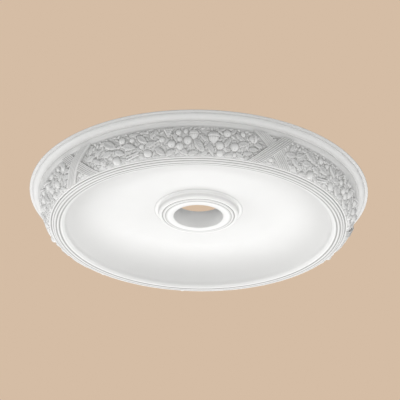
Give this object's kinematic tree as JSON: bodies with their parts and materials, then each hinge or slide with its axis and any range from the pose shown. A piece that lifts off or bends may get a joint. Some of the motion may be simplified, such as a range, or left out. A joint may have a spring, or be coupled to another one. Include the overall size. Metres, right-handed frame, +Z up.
{
  "type": "ceiling dome",
  "caption": "Round ceiling dome with a carved garland frieze, a rolled rim, a coved bowl and a raised lamp rose with a through hole.",
  "frame": {"origin": "centre of the flat back, on the ceiling plane", "axes": "+Z up into the ceiling along the dome's axis; the dome hangs below, at negative Z"},
  "size_m": [1, 1, 0.112],
  "materials": {
    "moulding": "matt white primed polyurethane, ready to paint"
  },
  "bodies": {
    "root": {"ceiling_dome": "moulding"}
  },
  "joints": []
}
